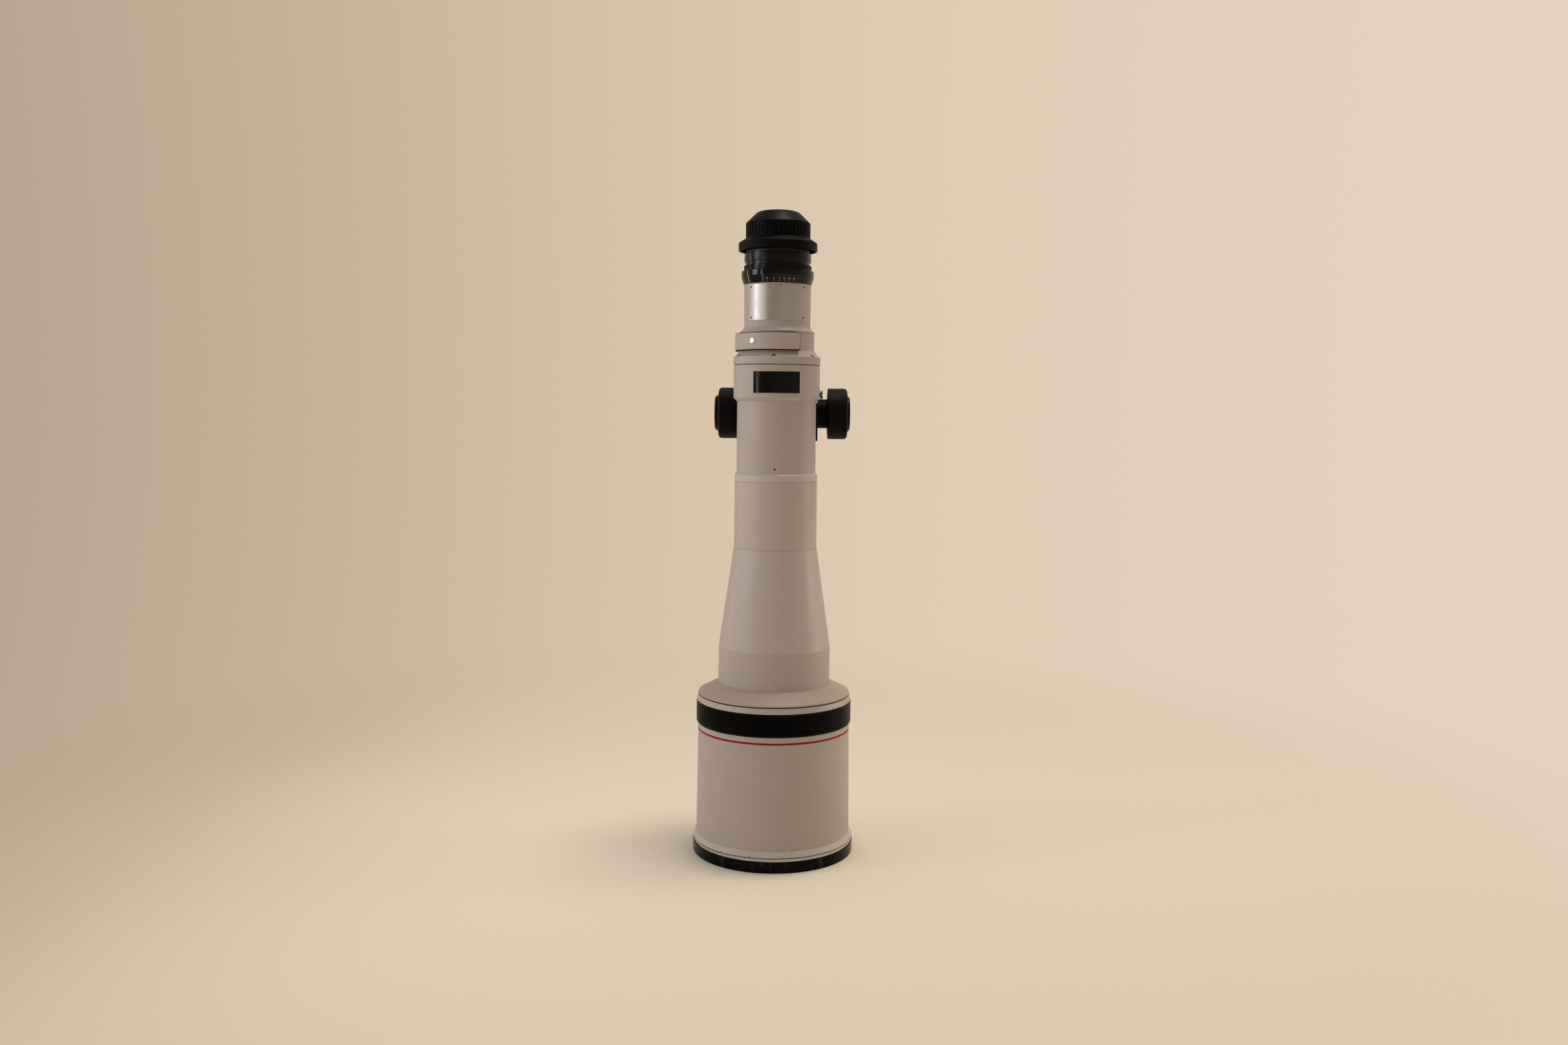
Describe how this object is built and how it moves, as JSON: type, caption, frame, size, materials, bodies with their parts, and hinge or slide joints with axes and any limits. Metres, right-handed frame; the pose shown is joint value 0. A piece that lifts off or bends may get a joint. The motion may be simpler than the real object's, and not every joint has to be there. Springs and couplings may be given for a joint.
{
  "type": "super telephoto lens",
  "caption": "Super telephoto lens on its front cap, with side focus knobs, a turning rear section, filter drawer, iris, tripod foot, camera bayonet and caps.",
  "frame": {"origin": "centre of the front cap's underside, on the optical axis", "axes": "+Z along the optical axis from the front cap to the camera mount, -Y towards the name plate, +Y towards the tripod foot, +X towards the tension ring and the rotation lock screw"},
  "size_m": [0.162, 0.165, 0.6495],
  "materials": {
    "painted_alloy": "warm grey-beige enamel, satin",
    "red_enamel": "gloss red enamel",
    "bare_alloy": "turned, bare",
    "band_rubber": "moulded black rubber with fine pyramids",
    "black_anodised": "matt black anodised",
    "black_enamel": "gloss black enamel",
    "label_film": "gloss black, bare",
    "knob_rubber": "matt black",
    "cap_plastic": "gloss black, moulded",
    "rear_cap_plastic": "satin black, moulded",
    "brushed_plate": "brushed, clear",
    "chrome_plate": "polished chrome",
    "steel": "turned",
    "bronze": "turned",
    "optical_glass": "polished, coated",
    "blade_steel": "blued and blackened"
  },
  "bodies": {
    "barrel": {"front_rim": "bare_alloy", "bead_ring": "painted_alloy", "front_housing": "painted_alloy", "red_ring": "red_enamel", "grip_band": "band_rubber", "objective_cell": "black_anodised", "objective_rings": "black_anodised", "front_element": "optical_glass", "second_element": "optical_glass", "third_element": "optical_glass", "shoulder_ring": "painted_alloy", "front_tube": "painted_alloy", "cone_tube": "painted_alloy", "baffles": "black_anodised", "joint_ring": "painted_alloy", "rear_tube": "painted_alloy", "collar": "painted_alloy", "label_plate": "label_film", "sleeve_holder": "black_anodised", "focus_saddle": "black_enamel", "casting_screws": "steel", "shaft_bushes": "bronze", "tripod_foot": "black_enamel", "thread_bush": "steel"},
    "front_cap": {"front_cap": "cap_plastic"},
    "lock_screw": {"lock_screw": "steel"},
    "focus_drive": {"pinion_shaft": "steel", "left_knob": "knob_rubber", "right_knob": "knob_rubber", "knob_discs": "cap_plastic"},
    "tension_ring": {"tension_ring": "black_anodised"},
    "focus_group": {"focus_cell": "black_anodised", "focus_glass": "optical_glass", "focus_rack": "steel"},
    "rear_section": {"turning_sleeve": "black_anodised", "index_ring": "painted_alloy", "drawer_ring": "painted_alloy", "plate_tube": "painted_alloy", "name_plate": "brushed_plate", "plate_screws": "steel", "rear_cell": "black_anodised", "rear_glass": "optical_glass", "mount_base": "black_anodised", "adapter_ring": "black_enamel", "bayonet_flange": "chrome_plate", "flange_screws": "steel"},
    "drawer": {"drawer_tray": "black_anodised", "drawer_filter": "optical_glass", "drawer_cover": "painted_alloy"},
    "drawer_button": {"drawer_button": "chrome_plate"},
    "aperture": {"aperture_ring": "black_enamel", "drive_ring": "black_anodised"},
    "lock_ring": {"lock_ring": "black_enamel"},
    "rear_cap": {"rear_cap": "rear_cap_plastic"},
    "blade_1": {"iris_blade_1": "blade_steel"},
    "blade_2": {"iris_blade_2": "blade_steel"},
    "blade_3": {"iris_blade_3": "blade_steel"},
    "blade_4": {"iris_blade_4": "blade_steel"},
    "blade_5": {"iris_blade_5": "blade_steel"},
    "blade_6": {"iris_blade_6": "blade_steel"}
  },
  "joints": [
    {"name": "front_cap_off", "type": "slide", "parent": "barrel", "child": "front_cap", "axis": [0, 0, -1], "range_m": [0, 0.03]},
    {"name": "rotation_lock", "type": "hinge", "parent": "barrel", "child": "lock_screw", "pos_m": [0.0441, 0, 0.4624], "axis": [1, 0, 0], "range_deg": [0, 180]},
    {"name": "focus_knobs", "type": "hinge", "parent": "barrel", "child": "focus_drive", "pos_m": [0, 0.045, 0.443], "axis": [1, 0, 0], "range_deg": [0, 98]},
    {"name": "tension_turn", "type": "hinge", "parent": "barrel", "child": "tension_ring", "pos_m": [0.048, 0.045, 0.443], "axis": [1, 0, 0], "range_deg": [0, 90]},
    {"name": "focus_slide", "type": "slide", "parent": "barrel", "child": "focus_group", "axis": [0, 0, -1], "range_m": [0, 0.0109]},
    {"name": "rear_turn", "type": "hinge", "parent": "barrel", "child": "rear_section", "pos_m": [0, 0, 0.492], "axis": [0, 0, 1], "range_deg": [-90, 90]},
    {"name": "drawer_slide", "type": "slide", "parent": "rear_section", "child": "drawer", "axis": [-0.5592, -0.829, 0], "range_m": [0, 0.056]},
    {"name": "button_press", "type": "slide", "parent": "drawer", "child": "drawer_button", "axis": [0.5592, 0.829, 0], "range_m": [0, 0.0015], "stiffness_N_per_m": 400, "springref_m": -0.0005},
    {"name": "aperture_turn", "type": "hinge", "parent": "rear_section", "child": "aperture", "pos_m": [0, 0, 0.581], "axis": [0, 0, 1], "range_deg": [0, 40]},
    {"name": "lock_ring_turn", "type": "hinge", "parent": "rear_section", "child": "lock_ring", "pos_m": [0, 0, 0.591], "axis": [0, 0, 1], "range_deg": [0, 60]},
    {"name": "rear_cap_off", "type": "slide", "parent": "rear_section", "child": "rear_cap", "axis": [0, 0, 1], "range_m": [0, 0.03]},
    {"name": "blade_1_swing", "type": "hinge", "parent": "rear_section", "child": "blade_1", "pos_m": [0.0296, 0, 0.557], "axis": [0, 0, 1], "range_deg": [0, 36]},
    {"name": "blade_2_swing", "type": "hinge", "parent": "rear_section", "child": "blade_2", "pos_m": [0.0148, 0.02563, 0.557], "axis": [0, 0, 1], "range_deg": [0, 36]},
    {"name": "blade_3_swing", "type": "hinge", "parent": "rear_section", "child": "blade_3", "pos_m": [-0.0148, 0.02563, 0.557], "axis": [0, 0, 1], "range_deg": [0, 36]},
    {"name": "blade_4_swing", "type": "hinge", "parent": "rear_section", "child": "blade_4", "pos_m": [-0.0296, 0, 0.557], "axis": [0, 0, 1], "range_deg": [0, 36]},
    {"name": "blade_5_swing", "type": "hinge", "parent": "rear_section", "child": "blade_5", "pos_m": [-0.0148, -0.02563, 0.557], "axis": [0, 0, 1], "range_deg": [0, 36]},
    {"name": "blade_6_swing", "type": "hinge", "parent": "rear_section", "child": "blade_6", "pos_m": [0.0148, -0.02563, 0.557], "axis": [0, 0, 1], "range_deg": [0, 36]}
  ],
  "couplings": [
    {"joint": "focus_knobs", "follows": "focus_slide", "rad_per_m": 156.25},
    {"joint": "blade_1_swing", "follows": "aperture_turn", "ratio": 0.9},
    {"joint": "blade_2_swing", "follows": "aperture_turn", "ratio": 0.9},
    {"joint": "blade_3_swing", "follows": "aperture_turn", "ratio": 0.9},
    {"joint": "blade_4_swing", "follows": "aperture_turn", "ratio": 0.9},
    {"joint": "blade_5_swing", "follows": "aperture_turn", "ratio": 0.9},
    {"joint": "blade_6_swing", "follows": "aperture_turn", "ratio": 0.9}
  ]
}
